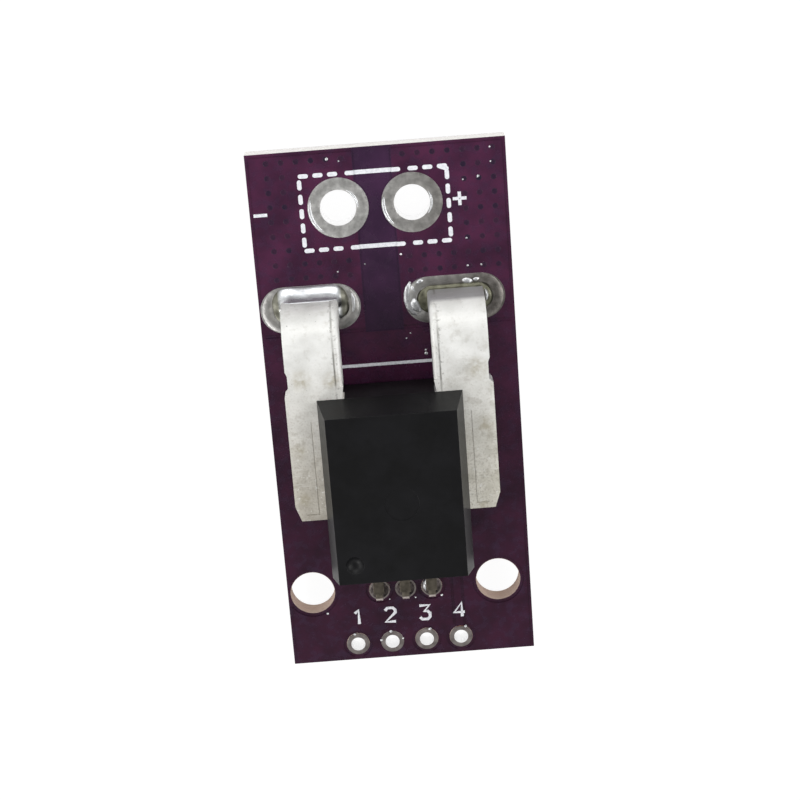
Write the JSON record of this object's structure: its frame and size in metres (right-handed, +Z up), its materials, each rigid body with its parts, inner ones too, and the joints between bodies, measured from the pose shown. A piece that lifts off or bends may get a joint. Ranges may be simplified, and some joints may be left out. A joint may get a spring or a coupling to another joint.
{
  "type": "hall effect current sensor",
  "caption": "Hall effect current sensor: flat moulded sensor with a heavy U-shaped current bar, soldered to a small carrier board with power wire holes, mounting holes and header holes.",
  "frame": {"origin": "middle of the board in plan, at the level of the lead tips under it", "axes": "+X across the board, +Y along it from the header holes to the power wire holes, +Z up out of the component side"},
  "size_m": [0.0178, 0.0382, 0.0099],
  "materials": {
    "laminate": "sawn glass and epoxy laminate",
    "foil": "etched copper foil",
    "solder_mask": "glossy dark purple lacquer",
    "ink": "white printed ink",
    "tinned_pad": "hot levelled tin, satin",
    "tinned_bar": "matt tin over copper with rub marks",
    "tinned_lead": "matt tin over copper",
    "solder": "glossy solder",
    "compound": "fine matt black mould compound",
    "core_metal": "sintered soft iron",
    "silicon": "polished silicon",
    "gold": "drawn gold wire",
    "capacitor_ceramic": "fired ceramic",
    "resistor_glaze": "black glass glaze over white ceramic"
  },
  "bodies": {
    "root": {"board_core": "laminate", "upper_left_plane": "foil", "upper_right_plane": "foil", "upper_ground_pour": "foil", "lower_left_plane": "foil", "lower_right_plane": "foil", "lower_ground_pour": "foil", "upper_trace": "foil", "lower_traces": "foil", "link_via": "tinned_pad", "upper_solder_mask": "solder_mask", "lower_solder_mask": "solder_mask", "board_print": "ink", "left_terminal_plating": "tinned_pad", "right_terminal_plating": "tinned_pad", "left_slot_plating": "tinned_pad", "right_slot_plating": "tinned_pad", "supply_hole_plating": "tinned_pad", "ground_hole_plating": "tinned_pad", "output_hole_plating": "tinned_pad", "stitching_vias": "foil", "header_plating_1": "tinned_pad", "header_plating_2": "tinned_pad", "header_plating_3": "tinned_pad", "header_plating_4": "tinned_pad", "current_conductor": "tinned_bar", "sensor_body": "compound", "flux_core": "core_metal", "hall_chip": "silicon", "supply_lead": "tinned_lead", "ground_lead": "tinned_lead", "output_lead": "tinned_lead", "bond_wires": "gold", "left_power_solder": "solder", "right_power_solder": "solder", "supply_solder": "solder", "ground_solder": "solder", "output_solder": "solder", "bypass_capacitor": "capacitor_ceramic", "filter_capacitor": "capacitor_ceramic", "filter_resistor": "resistor_glaze", "chip_end_caps": "tinned_pad", "chip_pads": "tinned_pad", "chip_solder": "solder"}
  },
  "joints": []
}
